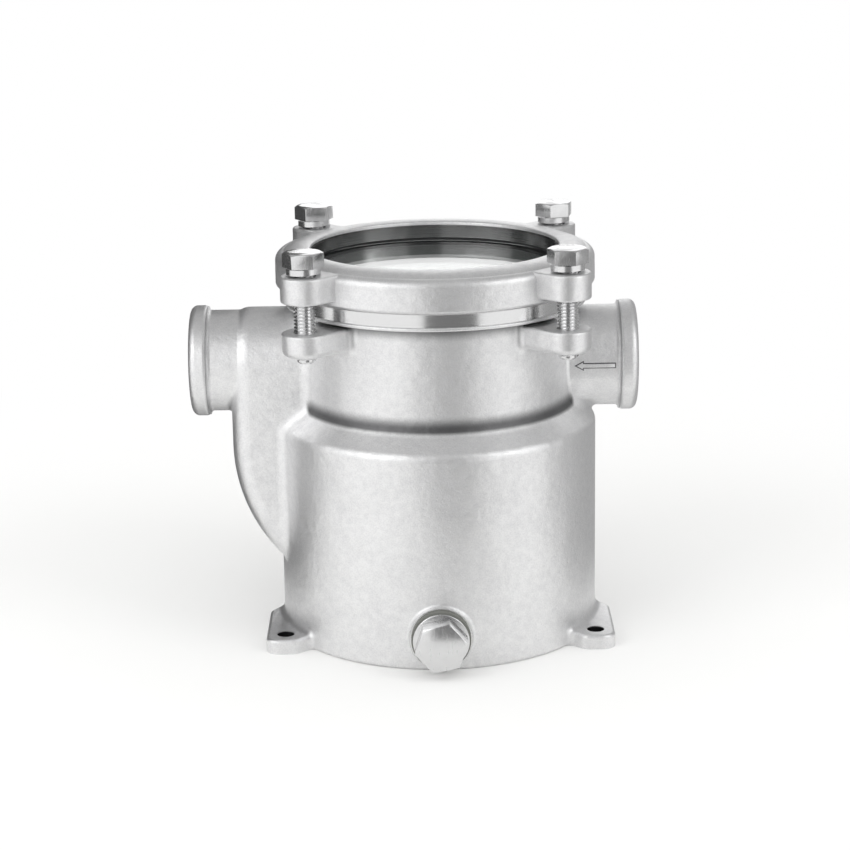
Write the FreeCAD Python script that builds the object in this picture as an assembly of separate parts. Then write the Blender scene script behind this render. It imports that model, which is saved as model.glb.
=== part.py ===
import FreeCAD, Part
import math
import os

# Sea water strainer with a one inch thread in both ports, all sizes in millimetres.
# The origin is the centre of the base, +Z is up, the drain plug faces -Y,
# water comes in through the port on +X and leaves through the one on -X.

# Drum, shoulder and neck of the cast body
DRUM_R = 60.0
DRUM_WALL = 4.5
FLOOR = 4.0
BASE_ROUND = 1.5
SHOULDER_LOW_Z = 80.5
SHOULDER_RISE = 7.5
SHOULDER_STEP = 8.5
SHOULDER_OUTER_ROUND = 4.0
SHOULDER_INNER_ROUND = 6.5
NECK_WALL = 6.0
CAVITY_ROUND = 4.0

# Ledge inside the neck, on which the basket hangs
LEDGE_DROP = 3.0
LEDGE_THICK = 5.0
LEDGE_WIDTH = 3.0

# Machined collar on top of the neck, which carries the sealing ring
COLLAR_STEP = 4.5
COLLAR_HEIGHT = 6.6
COLLAR_EDGE = 0.5

# Ports
PORT_RISE = 15.4
PORT_THREAD_R = 16.0
PORT_WALL = 3.0
PORT_THREAD_DEPTH = 18.0
PORT_THROAT_R = 14.8
PORT_MOUTH_CHAMFER = 1.0
INLET_PROUD = 15.0
OUTLET_PROUD = 15.2
BEAD_PROUD = 1.8
BEAD_WIDTH = 6.6
BEAD_ROUND = 2.6
BEAD_ROOT_ROUND = 1.5
PORT_ROOT_ROUND = 2.0

# Outlet duct, a cast channel that climbs from the drum to the outlet port
DUCT_SIDE_PROUD = 1.0
DUCT_PROUD = 16.8
DUCT_WALL = 4.0
DUCT_BEND_Z = 74.0
DUCT_BEND_R = 63.0
DUCT_EDGE_ROUND = 7.0
DUCT_ROOT_ROUND = 5.5

# Lugs that the cover's bolts pass through
LUG_COUNT = 4
LUG_STANDOFF = 10.3
LUG_FIRST_ANGLE = 225.0
LUG_HALF_WIDTH = 8.5
BODY_LUG_DROP = 8.0
BODY_LUG_THICK = 8.5
BODY_LUG_EDGE_ROUND = 2.5
LUG_TOP_ROUND = 0.8
LUG_ROOT_ROUND = 3.0

# Feet
FOOT_STANDOFF = 7.1
FOOT_ANGLE = 30.0
FOOT_HOLE_R = 3.25
FOOT_PAD_R = 7.2
FOOT_THICK = 5.5
FOOT_FRONT_RUN = 4.3
FOOT_TAIL = 26.6
FOOT_TAIL_SLANT = 11.6
FOOT_EDGE_ROUND = 1.2
FOOT_CORNER_ROUND = 5.0
FOOT_ROOT_ROUND = 2.5

# Drain
DRAIN_THREAD_R = 8.33
DRAIN_PLUG_REACH = 8.0
DRAIN_COLLAR_R = 10.3
DRAIN_COLLAR_THICK = 1.6
DRAIN_HEX_ACROSS_FLATS = 17.0
DRAIN_HEX_HEIGHT = 7.6
DRAIN_HEX_TURN = 12.0
DRAIN_SEAL_R = 10.9
DRAIN_SEAL_THICK = 1.5
DRAIN_BOSS_LAND = 0.9
DRAIN_BOSS_PROUD = 1.6
DRAIN_BOSS_LIFT = 1.0
DRAIN_BOSS_ROUND = 1.2

# Cover ring, its pane and the sealing rings
COVER_GAP = 0.6
COVER_THICK = 12.0
COVER_WALL = 8.0
COVER_LIP = 4.8
COVER_TOP_ROUND = 3.0
COVER_LOW_EDGE = 0.8
COVER_LUG_RISE = 2.4
COVER_LUG_LOW_ROUND = 0.8
WINDOW_STEP = 1.0
WINDOW_EDGE = 0.5
GLASS_LAP = 4.8
GLASS_SIDE_GAP = 0.3
GLASS_THICK = 6.0
GLASS_EDGE = 0.5
GASKET_THICK = 1.0
GASKET_INNER_GAP = 0.4
SEAL_INSET = 3.5
SEAL_SIZE = 2.6
SEAL_EDGE = 0.5
SEAL_GROOVE_SIDE_GAP = 0.3

# Cover bolts, metric 8 by 35, their spring washers, and how far each head happens to stand turned
BOLT_R = 4.0
BOLT_LENGTH = 35.0
BOLT_ACROSS_FLATS = 13.0
BOLT_HEAD_HEIGHT = 5.3
BOLT_POINT_CHAMFER = 1.0
BOLT_HOLE_GAP = 0.5
BOLT_HEAD_TURNS = (0.0, -11.0, 18.0, 7.0)
HEAD_CHAMFER_ANGLE = 30.0
THREAD_RUNNING_GAP = 0.05
WASHER_BORE_GAP = 0.1
WASHER_SECTION = 2.1
WASHER_RISE = 1.2
WASHER_SLIT_ANGLE = 14.0

# Strainer basket of pierced sheet
BASKET_SHEET = 0.8
BASKET_FLOOR_LIFT = 8.0
BASKET_HOLE_R = 3.6
BASKET_HOLE_COLUMNS = 12
BASKET_HOLE_PITCH_Z = 12.0
BASKET_HOLE_MARGIN = 9.0
BASKET_FLOOR_RINGS = ((14.0, 6), (28.0, 12))
BASKET_RIM_THICK = 1.5
BASKET_SIDE_GAP = 0.7
BASKET_RIM_GAP = 0.5
EAR_THICK = 1.2
EAR_HALF_WIDTH = 4.5
EAR_DROP = 9.0
BAIL_WIRE_R = 1.2
BAIL_SIDE_GAP = 1.0
BAIL_RIM_GAP = 0.3
BAIL_PIN_GAP = 0.1
BAIL_PIN_PROUD = 1.0

# Sizes across that follow from the ones above
NECK_R = DRUM_R - SHOULDER_STEP
NECK_BORE_R = NECK_R - NECK_WALL
DRUM_BORE_R = DRUM_R - DRUM_WALL
LEDGE_BORE_R = NECK_BORE_R - LEDGE_WIDTH
COLLAR_R = NECK_R + COLLAR_STEP
PORT_R = PORT_THREAD_R + PORT_WALL
BEAD_R = PORT_R + BEAD_PROUD
DUCT_HALF_WIDTH = PORT_R + DUCT_SIDE_PROUD
DUCT_REACH_X = DRUM_R + DUCT_PROUD
INLET_FACE_X = DRUM_R + INLET_PROUD
OUTLET_FACE_X = DUCT_REACH_X + OUTLET_PROUD
LUG_CIRCLE_R = COLLAR_R + LUG_STANDOFF
FOOT_CIRCLE_R = DRUM_R + FOOT_STANDOFF
DRAIN_BOSS_R = DRAIN_SEAL_R + DRAIN_BOSS_LAND
DRAIN_FACE_Y = DRUM_R + DRAIN_BOSS_PROUD
WINDOW_R = NECK_BORE_R + WINDOW_STEP
GLASS_R = WINDOW_R + GLASS_LAP
REBATE_R = GLASS_R + GLASS_SIDE_GAP
COVER_R = REBATE_R + COVER_WALL
SEAL_CIRCLE_R = NECK_BORE_R + SEAL_INSET
BASKET_R = LEDGE_BORE_R - BASKET_SIDE_GAP
BASKET_INNER_R = BASKET_R - BASKET_SHEET
BAIL_R = NECK_BORE_R - BAIL_SIDE_GAP - BAIL_WIRE_R

# Heights that follow, where the collar is level with the top of the upright handle
DRAIN_Z = DRAIN_BOSS_R + DRAIN_BOSS_LIFT
SHOULDER_HIGH_Z = SHOULDER_LOW_Z + SHOULDER_RISE
PORT_Z = SHOULDER_HIGH_Z + PORT_RISE
LEDGE_Z = SHOULDER_HIGH_Z - LEDGE_DROP
LEDGE_LOW_Z = LEDGE_Z - LEDGE_THICK
BASKET_FLOOR_Z = FLOOR + BASKET_FLOOR_LIFT
BASKET_RIM_TOP_Z = LEDGE_Z + BASKET_RIM_THICK
BAIL_PIVOT_Z = BASKET_RIM_TOP_Z + BAIL_RIM_GAP + BAIL_WIRE_R
COLLAR_TOP_Z = BAIL_PIVOT_Z + BAIL_R + BAIL_WIRE_R
COLLAR_LOW_Z = COLLAR_TOP_Z - COLLAR_HEIGHT
BODY_LUG_TOP_Z = COLLAR_TOP_Z - BODY_LUG_DROP
BODY_LUG_LOW_Z = BODY_LUG_TOP_Z - BODY_LUG_THICK
COVER_LOW_Z = COLLAR_TOP_Z + COVER_GAP
COVER_TOP_Z = COVER_LOW_Z + COVER_THICK
LIP_LOW_Z = COVER_TOP_Z - COVER_LIP
GLASS_TOP_Z = LIP_LOW_Z - GASKET_THICK
GLASS_LOW_Z = GLASS_TOP_Z - GLASS_THICK
SEAL_LOW_Z = GLASS_LOW_Z - SEAL_SIZE
BOLT_SEAT_Z = COVER_TOP_Z + WASHER_SECTION + WASHER_RISE

# Directions, angles and allowances
ORIGIN = FreeCAD.Vector(0, 0, 0)
X_AXIS = FreeCAD.Vector(1, 0, 0)
Y_AXIS = FreeCAD.Vector(0, 1, 0)
Z_AXIS = FreeCAD.Vector(0, 0, 1)
LUG_ANGLES = [LUG_FIRST_ANGLE + step * 360.0 / LUG_COUNT for step in range(LUG_COUNT)]
FOOT_ANGLES = (-FOOT_ANGLE, FOOT_ANGLE - 180.0, 90.0)
OVERRUN = 5.0
SAME_PLACE = 0.01
ON_SURFACE = 1e-4


def on_floor(u, v):
    """Point of a horizontal outline."""
    return FreeCAD.Vector(u, v, 0)


def on_front(u, v):
    """Point of an outline in the X-Z plane."""
    return FreeCAD.Vector(u, 0, v)


def on_side(u, v):
    """Point of an outline in the Y-Z plane."""
    return FreeCAD.Vector(0, u, v)


def polar(radius, angle, z=0.0):
    """Point at a radius and an angle in degrees about the vertical axis."""
    turn = math.radians(angle)
    return FreeCAD.Vector(radius * math.cos(turn), radius * math.sin(turn), z)


def rounded_face(corners, place):
    """Face whose corners (u, v, radius) are joined by lines and tangent arcs."""
    points = [place(u, v) for u, v, _ in corners]
    edges = []
    starts = []
    ends = []
    arcs = []
    for index, (_, _, radius) in enumerate(corners):
        here = points[index]
        to_last = (points[index - 1] - here).normalize()
        to_next = (points[(index + 1) % len(points)] - here).normalize()
        if radius <= 0:
            starts.append(here)
            ends.append(here)
            arcs.append(None)
            continue
        half = to_last.getAngle(to_next) / 2.0
        reach = radius / math.tan(half)
        middle = (to_last + to_next).normalize()
        centre = here + middle * (radius / math.sin(half))
        starts.append(here + to_last * reach)
        ends.append(here + to_next * reach)
        arcs.append(centre - middle * radius)
    for index in range(len(points)):
        if arcs[index] is not None:
            edges.append(Part.Arc(starts[index], arcs[index], ends[index]).toShape())
        following = (index + 1) % len(points)
        if (starts[following] - ends[index]).Length > ON_SURFACE:
            edges.append(Part.makeLine(ends[index], starts[following]))
    return Part.Face(Part.Wire(edges))


def turned(corners):
    """Solid of revolution about the vertical axis, of an outline in the X-Z plane."""
    return rounded_face(corners, on_front).revolve(ORIGIN, Z_AXIS, 360)


def cylinder(radius, low, high, centre=ORIGIN):
    """Upright cylinder between two heights."""
    return Part.makeCylinder(radius, high - low, FreeCAD.Vector(centre.x, centre.y, low))


def rod_x(radius, start, end, z):
    """Cylinder along X between two places."""
    return Part.makeCylinder(radius, end - start, FreeCAD.Vector(start, 0, z), X_AXIS)


def rod_y(radius, start, end, z):
    """Cylinder along Y between two places."""
    return Part.makeCylinder(radius, end - start, FreeCAD.Vector(0, start, z), Y_AXIS)


def hexagon(across_flats, height, low):
    """Upright hexagonal prism on the vertical axis."""
    corner_r = across_flats / math.sqrt(3.0)
    corners = [polar(corner_r, 60.0 * step, low) for step in range(6)]
    return Part.Face(Part.makePolygon(corners + corners[:1])).extrude(Z_AXIS * height)


def union(first, *others):
    """Fused solid without the seams between faces that lie flush."""
    return first.fuse(list(others)).removeSplitter()


def edges_where(shape, wanted):
    """Edges whose middle point passes a test."""
    found = []
    for edge in shape.Edges:
        middle = edge.valueAt((edge.FirstParameter + edge.LastParameter) / 2.0)
        if wanted(edge, middle):
            found.append(edge)
    return found


def seam_edges(shape, first, second):
    """Edges of a fused solid that lie on the outside of both of its halves."""
    def on_both(edge, _):
        for share in (0.3, 0.7):
            place = edge.FirstParameter + share * (edge.LastParameter - edge.FirstParameter)
            point = Part.Vertex(edge.valueAt(place))
            for solid in (first, second):
                if point.distToShape(solid.Shells[0])[0] > ON_SURFACE:
                    return False
        return True

    return edges_where(shape, on_both)


def cast_on(body, piece, root_round):
    """Adds a piece to the casting with a round in the corner between them."""
    joined = union(body, piece)
    return joined.makeFillet(root_round, seam_edges(joined, body, piece))


def vessel_outside():
    """Drum, shoulder and neck as one turned blank."""
    return turned([
        (0, 0, 0),
        (DRUM_R, 0, BASE_ROUND),
        (DRUM_R, SHOULDER_LOW_Z, SHOULDER_OUTER_ROUND),
        (NECK_R, SHOULDER_HIGH_Z, SHOULDER_INNER_ROUND),
        (NECK_R, COLLAR_TOP_Z, 0),
        (0, COLLAR_TOP_Z, 0),
    ])


def collar():
    """Machined ring round the top of the neck."""
    return turned([
        (NECK_BORE_R, COLLAR_LOW_Z, 0),
        (COLLAR_R, COLLAR_LOW_Z, 0),
        (COLLAR_R, COLLAR_TOP_Z - COLLAR_EDGE, 0),
        (COLLAR_R - COLLAR_EDGE, COLLAR_TOP_Z, 0),
        (NECK_BORE_R, COLLAR_TOP_Z, 0),
    ])


def duct_solid(half_width, reach, bend_r, edge_round):
    """Channel of U section whose lower end bends back into the drum."""
    inner_x = -(NECK_BORE_R - LEDGE_THICK)
    high_z = PORT_Z + half_width
    low_z = DUCT_BEND_Z - bend_r
    section = Part.Wire([
        Part.Arc(on_side(-half_width, PORT_Z), on_side(0, high_z), on_side(half_width, PORT_Z)).toShape(),
        Part.makeLine(on_side(half_width, PORT_Z), on_side(half_width, low_z)),
        Part.makeLine(on_side(half_width, low_z), on_side(-half_width, low_z)),
        Part.makeLine(on_side(-half_width, low_z), on_side(-half_width, PORT_Z)),
    ])
    prism = Part.Face(section).extrude(FreeCAD.Vector(inner_x + reach, 0, 0))
    prism.translate(FreeCAD.Vector(-reach, 0, 0))
    centre_x = bend_r - reach
    foot_drop = math.sqrt(bend_r ** 2 - (centre_x - inner_x) ** 2)
    half_turn = math.atan2(foot_drop, centre_x - inner_x) / 2.0
    middle = on_front(centre_x - bend_r * math.cos(half_turn), DUCT_BEND_Z - bend_r * math.sin(half_turn))
    foot = on_front(inner_x, DUCT_BEND_Z - foot_drop)
    side = Part.Wire([
        Part.Arc(on_front(-reach, DUCT_BEND_Z), middle, foot).toShape(),
        Part.makeLine(foot, on_front(inner_x, high_z)),
        Part.makeLine(on_front(inner_x, high_z), on_front(-reach, high_z)),
        Part.makeLine(on_front(-reach, high_z), on_front(-reach, DUCT_BEND_Z)),
    ])
    slab = Part.Face(side).extrude(FreeCAD.Vector(0, 2.0 * half_width, 0))
    slab.translate(FreeCAD.Vector(0, -half_width, 0))
    duct = prism.common(slab)

    def on_outer_rim(_, middle):
        at_side = abs(abs(middle.y) - half_width) < SAME_PLACE
        at_end = abs(middle.x + reach) < SAME_PLACE
        on_bend = abs(math.hypot(middle.x - centre_x, middle.z - DUCT_BEND_Z) - bend_r) < SAME_PLACE
        over_top = at_end and middle.z > high_z - SAME_PLACE
        return over_top or (at_side and (at_end or (on_bend and middle.z < DUCT_BEND_Z)))

    return duct.makeFillet(edge_round, edges_where(duct, on_outer_rim))


def port_outside(face_x):
    """Port tube with the thick rounded rim at its mouth, on the inlet side."""
    blank = turned([
        (0, 0, 0),
        (PORT_R, 0, 0),
        (PORT_R, face_x - BEAD_WIDTH, BEAD_ROOT_ROUND),
        (BEAD_R, face_x - BEAD_WIDTH, BEAD_ROUND / 2.0),
        (BEAD_R, face_x, BEAD_ROUND),
        (0, face_x, 0),
    ])
    return laid_at_port(blank)


def port_inside(face_x, depth_x):
    """Thread bore, its mouth chamfer and the throat behind it, on the inlet side."""
    bore = turned([
        (0, depth_x, 0),
        (PORT_THROAT_R, depth_x, 0),
        (PORT_THROAT_R, face_x - PORT_THREAD_DEPTH, 0),
        (PORT_THREAD_R, face_x - PORT_THREAD_DEPTH, 0),
        (PORT_THREAD_R, face_x - PORT_MOUTH_CHAMFER, 0),
        (PORT_THREAD_R + PORT_MOUTH_CHAMFER, face_x, 0),
        (0, face_x, 0),
    ])
    return laid_at_port(bore)


def laid_at_port(shape):
    """Upright form laid along +X at the height of the ports."""
    shape.rotate(ORIGIN, Y_AXIS, 90)
    shape.translate(Z_AXIS * PORT_Z)
    return shape


def facing_outlet(shape):
    """Same form turned half round, for the port on the other side."""
    turned_round = shape.copy()
    turned_round.rotate(ORIGIN, Z_AXIS, 180)
    return turned_round


def rounded_lug(low, high, inner_r, angle, low_round, high_round):
    """Radial lug with straight sides, a round end at the bolt and rounded outer edges."""
    bar = Part.makeBox(LUG_CIRCLE_R - inner_r, 2.0 * LUG_HALF_WIDTH, high - low,
                       FreeCAD.Vector(inner_r, -LUG_HALF_WIDTH, low))
    end = cylinder(LUG_HALF_WIDTH, low, high, FreeCAD.Vector(LUG_CIRCLE_R, 0, 0))
    blank = union(bar, end)
    for height, radius in ((low, low_round), (high, high_round)):
        def on_rim(_, middle, height=height):
            return middle.x > inner_r + SAME_PLACE and abs(middle.z - height) < SAME_PLACE

        blank = blank.makeFillet(radius, edges_where(blank, on_rim))
    blank.rotate(ORIGIN, Z_AXIS, angle)
    return blank


def front_foot(side):
    """Foot in a front corner: a pad round the hole whose edge runs back along the drum."""
    hole = polar(FOOT_CIRCLE_R, -FOOT_ANGLE)
    outer_x = hole.x + FOOT_PAD_R
    outer_y = hole.y - FOOT_PAD_R
    inner_x = hole.x - FOOT_FRONT_RUN
    tail_y = hole.y + FOOT_TAIL
    blank = rounded_face([
        (inner_x - FOOT_PAD_R, outer_y + FOOT_PAD_R, 0),
        (inner_x, outer_y, FOOT_CORNER_ROUND),
        (outer_x, outer_y, FOOT_CORNER_ROUND),
        (outer_x, tail_y, FOOT_CORNER_ROUND),
        (outer_x - FOOT_PAD_R, tail_y + FOOT_TAIL_SLANT, 0),
    ], on_floor).extrude(Z_AXIS * FOOT_THICK)
    if side < 0:
        blank = blank.mirror(ORIGIN, X_AXIS)
    return blank


def rear_foot():
    """Foot at the back, with straight sides and a round end at its hole."""
    bar = Part.makeBox(2.0 * FOOT_PAD_R, FOOT_CIRCLE_R - NECK_R, FOOT_THICK,
                       FreeCAD.Vector(-FOOT_PAD_R, NECK_R, 0))
    end = cylinder(FOOT_PAD_R, 0, FOOT_THICK, FreeCAD.Vector(0, FOOT_CIRCLE_R, 0))
    return union(bar, end)


def foot_with_soft_edge(blank):
    """Foot whose upper edge outside the drum is rounded."""
    def on_top(_, middle):
        outside = math.hypot(middle.x, middle.y) > DRUM_R
        return outside and abs(middle.z - FOOT_THICK) < SAME_PLACE

    return blank.makeFillet(FOOT_EDGE_ROUND, edges_where(blank, on_top))


def casting_outside():
    """Everything that the mould gives the body on its outside, and the collar."""
    duct = duct_solid(DUCT_HALF_WIDTH, DUCT_REACH_X, DUCT_BEND_R, DUCT_EDGE_ROUND)
    body = cast_on(vessel_outside(), duct, DUCT_ROOT_ROUND)
    body = cast_on(body, port_outside(INLET_FACE_X), PORT_ROOT_ROUND)
    body = cast_on(body, facing_outlet(port_outside(OUTLET_FACE_X)), PORT_ROOT_ROUND)
    for angle in LUG_ANGLES:
        ear = rounded_lug(BODY_LUG_LOW_Z, BODY_LUG_TOP_Z, NECK_BORE_R, angle,
                          BODY_LUG_EDGE_ROUND, LUG_TOP_ROUND)
        body = cast_on(body, ear, LUG_ROOT_ROUND)
    for foot in (front_foot(1), front_foot(-1), rear_foot()):
        body = cast_on(body, foot_with_soft_edge(foot), FOOT_ROOT_ROUND)
    boss = rod_y(DRAIN_BOSS_R, -DRAIN_FACE_Y, -DRUM_BORE_R, DRAIN_Z)
    body = cast_on(body, boss, DRAIN_BOSS_ROUND)
    return union(body, collar())


def casting_inside():
    """Water space, ports, seal groove and holes that are cut from the body."""
    drum = turned([
        (0, FLOOR, 0),
        (DRUM_BORE_R, FLOOR, CAVITY_ROUND),
        (DRUM_BORE_R, LEDGE_LOW_Z, CAVITY_ROUND),
        (0, LEDGE_LOW_Z, 0),
    ])
    ledge = cylinder(LEDGE_BORE_R, LEDGE_LOW_Z - OVERRUN, LEDGE_Z + OVERRUN)
    neck = cylinder(NECK_BORE_R, LEDGE_Z, COLLAR_TOP_Z + OVERRUN)
    channel = duct_solid(DUCT_HALF_WIDTH - DUCT_WALL, DUCT_REACH_X - DUCT_WALL, DUCT_BEND_R - DUCT_WALL,
                         DUCT_EDGE_ROUND - DUCT_WALL)
    channel = channel.cut(cylinder(NECK_R, LEDGE_LOW_Z, COLLAR_TOP_Z))
    cuts = [drum, ledge, neck, channel]
    cuts.append(port_inside(INLET_FACE_X, NECK_BORE_R - OVERRUN))
    cuts.append(facing_outlet(port_inside(OUTLET_FACE_X, DUCT_REACH_X - DUCT_WALL - OVERRUN)))
    for angle in LUG_ANGLES:
        cuts.append(cylinder(BOLT_R + THREAD_RUNNING_GAP, BODY_LUG_LOW_Z - OVERRUN, BODY_LUG_TOP_Z + OVERRUN,
                             polar(LUG_CIRCLE_R, angle)))
    for angle in FOOT_ANGLES:
        cuts.append(cylinder(FOOT_HOLE_R, -OVERRUN, FOOT_THICK + OVERRUN, polar(FOOT_CIRCLE_R, angle)))
    cuts.append(rod_y(DRAIN_THREAD_R + THREAD_RUNNING_GAP, -DRAIN_FACE_Y - OVERRUN,
                      OVERRUN - DRUM_BORE_R, DRAIN_Z))
    cuts.append(seal_groove())
    return cuts


def seal_groove():
    """Groove for the sealing ring in the top of the collar."""
    half_width = SEAL_SIZE / 2.0 + SEAL_GROOVE_SIDE_GAP
    return flat_ring(SEAL_CIRCLE_R - half_width, SEAL_CIRCLE_R + half_width, SEAL_LOW_Z, COLLAR_TOP_Z + OVERRUN)


def body_casting():
    """Cast body with its ports, outlet duct, lugs, feet and machined faces."""
    return casting_outside().cut(casting_inside()).removeSplitter()


def cover_ring():
    """Clamping ring with a window, a rebate for the glass below and four lugs."""
    ring = turned([
        (0, COVER_LOW_Z, 0),
        (COVER_R - COVER_LOW_EDGE, COVER_LOW_Z, 0),
        (COVER_R, COVER_LOW_Z + COVER_LOW_EDGE, 0),
        (COVER_R, COVER_TOP_Z, COVER_TOP_ROUND),
        (0, COVER_TOP_Z, 0),
    ])
    for angle in LUG_ANGLES:
        ear = rounded_lug(COVER_LOW_Z + COVER_LUG_RISE, COVER_TOP_Z, WINDOW_R, angle,
                          COVER_LUG_LOW_ROUND, LUG_TOP_ROUND)
        ring = union(ring, ear)
    window = turned([
        (0, COVER_LOW_Z, 0),
        (REBATE_R, COVER_LOW_Z, 0),
        (REBATE_R, LIP_LOW_Z, 0),
        (WINDOW_R, LIP_LOW_Z, 0),
        (WINDOW_R, COVER_TOP_Z - WINDOW_EDGE, 0),
        (WINDOW_R + WINDOW_EDGE, COVER_TOP_Z, 0),
        (0, COVER_TOP_Z, 0),
    ])
    holes = [cylinder(BOLT_R + BOLT_HOLE_GAP, COVER_LOW_Z, COVER_TOP_Z + OVERRUN, polar(LUG_CIRCLE_R, angle))
             for angle in LUG_ANGLES]
    return ring.cut([window] + holes).removeSplitter()


def sight_glass():
    """Clear round pane with broken edges."""
    return turned([
        (0, GLASS_LOW_Z, 0),
        (GLASS_R - GLASS_EDGE, GLASS_LOW_Z, 0),
        (GLASS_R, GLASS_LOW_Z + GLASS_EDGE, 0),
        (GLASS_R, GLASS_TOP_Z - GLASS_EDGE, 0),
        (GLASS_R - GLASS_EDGE, GLASS_TOP_Z, 0),
        (0, GLASS_TOP_Z, 0),
    ])


def flat_ring(inner_r, outer_r, low, high):
    """Plain flat ring on the vertical axis."""
    return cylinder(outer_r, low, high).cut(cylinder(inner_r, low, high))


def glass_gasket():
    """Flat ring between the cover's lip and the pane."""
    return flat_ring(WINDOW_R + GASKET_INNER_GAP, GLASS_R, GLASS_TOP_Z, LIP_LOW_Z)


def seal_ring():
    """Ring of square section with broken edges, between the groove's floor and the pane."""
    inner = SEAL_CIRCLE_R - SEAL_SIZE / 2.0
    outer = SEAL_CIRCLE_R + SEAL_SIZE / 2.0
    return turned([
        (inner + SEAL_EDGE, SEAL_LOW_Z, 0),
        (outer - SEAL_EDGE, SEAL_LOW_Z, 0),
        (outer, SEAL_LOW_Z + SEAL_EDGE, 0),
        (outer, GLASS_LOW_Z - SEAL_EDGE, 0),
        (outer - SEAL_EDGE, GLASS_LOW_Z, 0),
        (inner + SEAL_EDGE, GLASS_LOW_Z, 0),
        (inner, GLASS_LOW_Z - SEAL_EDGE, 0),
        (inner, SEAL_LOW_Z + SEAL_EDGE, 0),
    ])


def lid_bolt(angle, head_turn):
    """Hexagon head bolt with a pointed end, seated on its spring washer."""
    tip = BOLT_SEAT_Z - BOLT_LENGTH
    shank = turned([
        (0, tip, 0),
        (BOLT_R - BOLT_POINT_CHAMFER, tip, 0),
        (BOLT_R, tip + BOLT_POINT_CHAMFER, 0),
        (BOLT_R, BOLT_SEAT_Z, 0),
        (0, BOLT_SEAT_Z, 0),
    ])
    head = chamfered_head(BOLT_ACROSS_FLATS, BOLT_HEAD_HEIGHT, BOLT_SEAT_Z, head_turn)
    bolt = union(shank, head)
    bolt.translate(polar(LUG_CIRCLE_R, angle))
    return bolt


def chamfered_head(across_flats, height, low, head_turn):
    """Turned hexagon whose upper corners are chamfered down to the width of its flats."""
    corner_r = across_flats / math.sqrt(3.0)
    flat_r = across_flats / 2.0
    drop = (corner_r - flat_r) * math.tan(math.radians(HEAD_CHAMFER_ANGLE))
    limit = turned([
        (0, low, 0),
        (corner_r, low, 0),
        (corner_r, low + height - drop, 0),
        (flat_r, low + height, 0),
        (0, low + height, 0),
    ])
    head = hexagon(across_flats, height, low).common(limit)
    head.rotate(ORIGIN, Z_AXIS, head_turn)
    return head


def spring_washer(angle):
    """Split ring of square section whose ends stand apart."""
    inner = BOLT_R + WASHER_BORE_GAP
    turn = 360.0 - WASHER_SLIT_ANGLE
    pitch = WASHER_RISE * 360.0 / turn
    guide_r = inner + WASHER_SECTION / 2.0
    guide = Part.makeHelix(pitch, WASHER_RISE, guide_r)
    section = Part.makePolygon([
        on_front(inner, 0),
        on_front(inner + WASHER_SECTION, 0),
        on_front(inner + WASHER_SECTION, WASHER_SECTION),
        on_front(inner, WASHER_SECTION),
        on_front(inner, 0),
    ])
    ring = Part.Wire(guide.Edges).makePipeShell([section], True, True)
    ring.rotate(ORIGIN, Z_AXIS, WASHER_SLIT_ANGLE / 2.0)
    ring.translate(polar(LUG_CIRCLE_R, angle, COVER_TOP_Z))
    return ring


def drain_plug():
    """Hexagon head plug with a collar, screwed into the boss from the front."""
    seat = DRAIN_SEAL_THICK
    shank = turned([
        (0, -DRAIN_PLUG_REACH, 0),
        (DRAIN_THREAD_R - BOLT_POINT_CHAMFER, -DRAIN_PLUG_REACH, 0),
        (DRAIN_THREAD_R, BOLT_POINT_CHAMFER - DRAIN_PLUG_REACH, 0),
        (DRAIN_THREAD_R, seat, 0),
        (DRAIN_COLLAR_R, seat, 0),
        (DRAIN_COLLAR_R, seat + DRAIN_COLLAR_THICK, 0),
        (0, seat + DRAIN_COLLAR_THICK, 0),
    ])
    head = chamfered_head(DRAIN_HEX_ACROSS_FLATS, DRAIN_HEX_HEIGHT, seat + DRAIN_COLLAR_THICK, DRAIN_HEX_TURN)
    return laid_at_drain(union(shank, head))


def drain_seal():
    """Sealing washer between the boss and the plug's collar."""
    return laid_at_drain(flat_ring(DRAIN_THREAD_R + WASHER_BORE_GAP, DRAIN_SEAL_R, 0, DRAIN_SEAL_THICK))


def laid_at_drain(shape):
    """Upright form laid along -Y on the face of the drain boss."""
    shape.rotate(ORIGIN, X_AXIS, 90)
    shape.translate(FreeCAD.Vector(0, -DRAIN_FACE_Y, DRAIN_Z))
    return shape


def basket_sleeve():
    """Pierced tube of the strainer basket."""
    tube = flat_ring(BASKET_INNER_R, BASKET_R, BASKET_FLOOR_Z, BASKET_RIM_TOP_Z)
    first_z = BASKET_FLOOR_Z + BASKET_HOLE_MARGIN
    rows = 1 + int((LEDGE_LOW_Z - BASKET_HOLE_MARGIN - first_z) / BASKET_HOLE_PITCH_Z)
    punches = []
    for row in range(rows):
        for column in range(BASKET_HOLE_COLUMNS):
            angle = (column + 0.5 * (row % 2)) * 360.0 / BASKET_HOLE_COLUMNS
            start = polar(BASKET_INNER_R - OVERRUN, angle, first_z + row * BASKET_HOLE_PITCH_Z)
            punches.append(Part.makeCylinder(BASKET_HOLE_R, 2.0 * OVERRUN, start, polar(1.0, angle)))
    return tube.cut(punches)


def basket_floor():
    """Pierced disc that closes the basket below."""
    disc = cylinder(BASKET_INNER_R, BASKET_FLOOR_Z, BASKET_FLOOR_Z + BASKET_SHEET)
    punches = []
    for radius, count in BASKET_FLOOR_RINGS:
        for step in range(count):
            centre = polar(radius, step * 360.0 / count)
            punches.append(cylinder(BASKET_HOLE_R, BASKET_FLOOR_Z - OVERRUN, BASKET_FLOOR_Z + OVERRUN, centre))
    return disc.cut(punches)


def basket_rim():
    """Flat ring that hangs the basket on the ledge."""
    return flat_ring(BASKET_R, NECK_BORE_R - BASKET_RIM_GAP, LEDGE_Z, BASKET_RIM_TOP_Z)


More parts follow.
